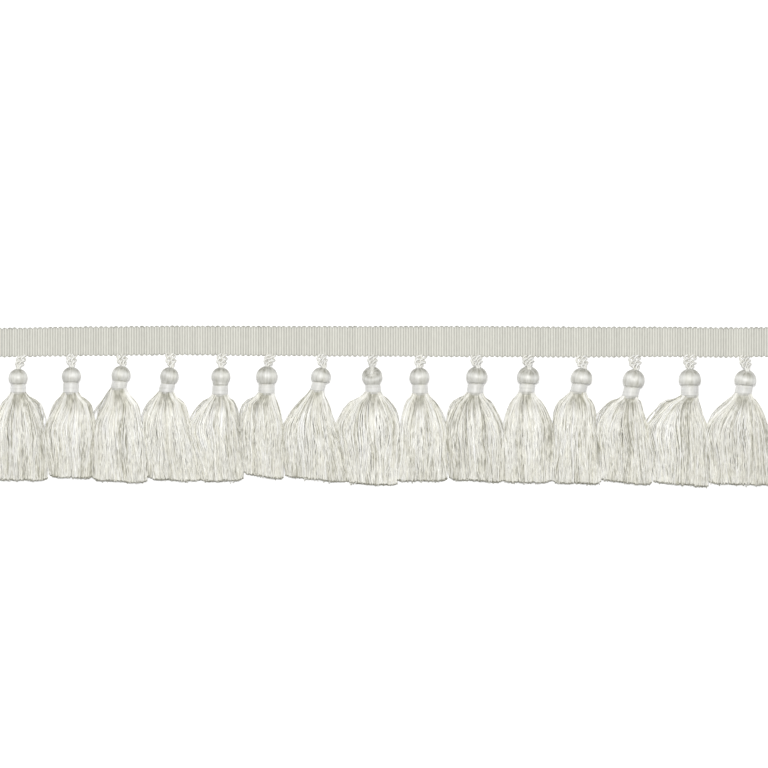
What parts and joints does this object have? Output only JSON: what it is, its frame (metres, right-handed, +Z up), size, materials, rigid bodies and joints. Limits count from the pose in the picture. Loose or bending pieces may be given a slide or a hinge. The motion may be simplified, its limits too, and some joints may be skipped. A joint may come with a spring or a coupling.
{
  "type": "tassel fringe trim",
  "caption": "Straight length of ribbed tape with scalloped edges and a row of round-headed yarn tassels on short twisted loops, lying flat.",
  "frame": {"origin": "on the surface that the trim lies on, under the middle of the whole trim", "axes": "+X along the tape, to the right as it is seen face up with the tassels below it; +Y from the cut ends of the skirts to the tape; +Z up from the surface"},
  "size_m": [0.383, 0.078, 0.0102],
  "materials": {
    "tape": "ribbed off-white weave with a slight sheen",
    "cord": "two-ply twisted off-white cord with a soft sheen",
    "yarn": "silky off-white yarn, satin",
    "binding": "fine off-white thread wound close, satin"
  },
  "bodies": {
    "root": {"tape": "tape", "hanger_01": "cord", "binding_01": "binding", "tassel_01": "yarn", "hanger_02": "cord", "binding_02": "binding", "tassel_02": "yarn", "hanger_03": "cord", "binding_03": "binding", "tassel_03": "yarn", "hanger_04": "cord", "binding_04": "binding", "tassel_04": "yarn", "hanger_05": "cord", "binding_05": "binding", "tassel_05": "yarn", "hanger_06": "cord", "binding_06": "binding", "tassel_06": "yarn", "hanger_07": "cord", "binding_07": "binding", "tassel_07": "yarn", "hanger_08": "cord", "binding_08": "binding", "tassel_08": "yarn", "hanger_09": "cord", "binding_09": "binding", "tassel_09": "yarn", "hanger_10": "cord", "binding_10": "binding", "tassel_10": "yarn", "hanger_11": "cord", "binding_11": "binding", "tassel_11": "yarn", "hanger_12": "cord", "binding_12": "binding", "tassel_12": "yarn", "hanger_13": "cord", "binding_13": "binding", "tassel_13": "yarn", "hanger_14": "cord", "binding_14": "binding", "tassel_14": "yarn", "hanger_15": "cord", "binding_15": "binding", "tassel_15": "yarn"}
  },
  "joints": []
}
